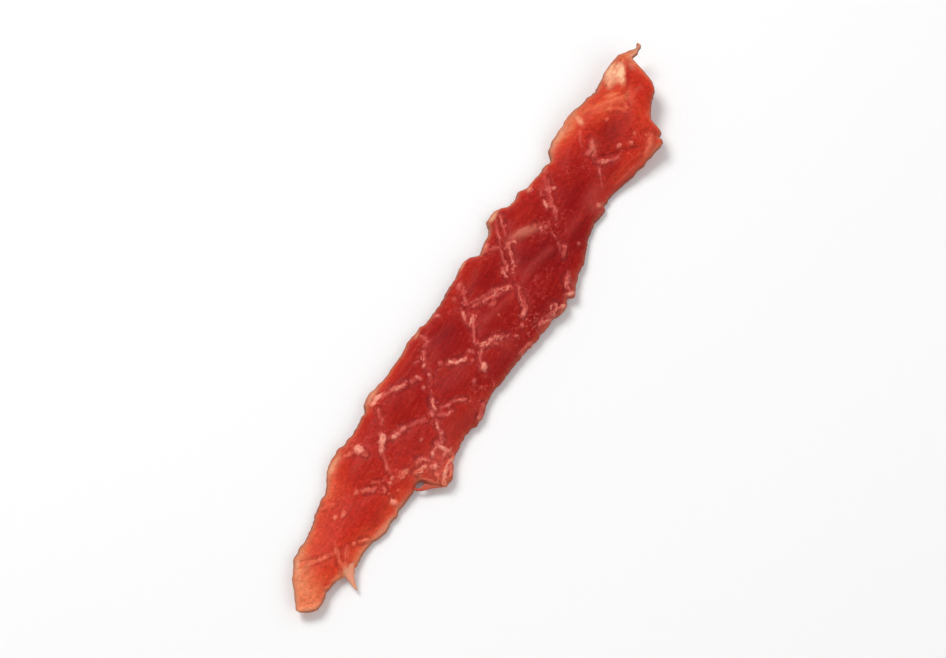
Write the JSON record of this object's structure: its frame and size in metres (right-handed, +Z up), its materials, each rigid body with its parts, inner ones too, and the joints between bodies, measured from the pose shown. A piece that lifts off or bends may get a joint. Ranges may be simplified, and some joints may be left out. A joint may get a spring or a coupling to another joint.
{
  "type": "dried duck meat strip dog treat",
  "caption": "Long flat strip of dark red air-dried duck meat with a rack imprint, thin ragged rims, a blunt foot and a hooked tip.",
  "frame": {"origin": "middle of the strip's bounding box, on the surface that it lies on", "axes": "+X along the strip from the blunt foot to the hooked tip, +Y across it, +Z up through its thickness, with the imprinted face up"},
  "size_m": [0.1384, 0.0266, 0.0061],
  "materials": {
    "dried_meat": "satin, slightly translucent dried meat"
  },
  "bodies": {
    "root": {"duck_strip": "dried_meat"}
  },
  "joints": []
}
